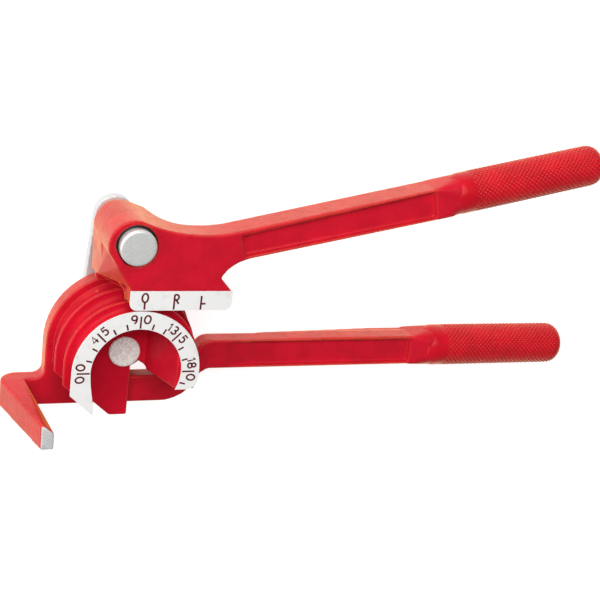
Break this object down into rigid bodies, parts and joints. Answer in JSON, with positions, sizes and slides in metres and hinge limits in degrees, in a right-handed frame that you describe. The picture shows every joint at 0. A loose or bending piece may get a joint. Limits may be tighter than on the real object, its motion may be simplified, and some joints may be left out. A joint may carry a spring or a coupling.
{
  "type": "manual tube bender",
  "caption": "Hand lever tube bender: a stepped forming wheel with a degree dial and hook on a fixed handle, and a pivoted lever with a matching grooved shoe.",
  "frame": {"origin": "on the centre pin's axis, at the flat rear end of the pin, where the tool rests when it lies on its back", "axes": "+Z along the pin axes towards the dial; +X along the fixed handle; +Y towards the lever pin's side"},
  "size_m": [0.2538, 0.1226, 0.0535],
  "materials": {
    "wheel_paint": "glossy red enamel on a die casting",
    "handle_paint": "glossy red enamel on a die casting, bare at the hook's end",
    "lever_paint": "glossy red enamel on a die casting",
    "fixed_grip": "red, diamond knurled",
    "lever_grip": "red, diamond knurled",
    "dial_white": "white enamel",
    "mark_paint": "dark maroon printing",
    "pin_steel": "turned and lightly scuffed",
    "washer_steel": "zinc plated",
    "link_steel": "blanked and brushed",
    "screw_steel": "zinc plated",
    "ring_black": "blackened spring steel"
  },
  "bodies": {
    "fixed": {"forming_wheel": "wheel_paint", "wheel_web": "wheel_paint", "wheel_lead_in": "wheel_paint", "wheel_screws": "screw_steel", "fixed_handle": "handle_paint", "fixed_grip": "fixed_grip", "degree_dial": "dial_white", "dial_ticks": "mark_paint"},
    "link": {"link_plate": "link_steel", "centre_pin": "pin_steel", "centre_spacer": "washer_steel", "centre_rear_washer": "washer_steel", "lever_pin": "pin_steel", "lever_spacer": "washer_steel", "lever_rear_washer": "washer_steel"},
    "lever": {"bending_lever": "lever_paint", "lever_grip": "lever_grip", "index_plate": "dial_white", "index_ticks": "mark_paint", "lever_pin_ring": "ring_black"}
  },
  "joints": [
    {"name": "link_swing", "type": "hinge", "parent": "fixed", "child": "link", "pos_m": [0, 0, 0.02], "axis": [0, 0, 1], "range_deg": [-90, 90]},
    {"name": "lever_pivot", "type": "hinge", "parent": "link", "child": "lever", "pos_m": [-0.0039, 0.05085, 0.02], "axis": [0, 0, 1], "range_deg": [0, 40]}
  ]
}
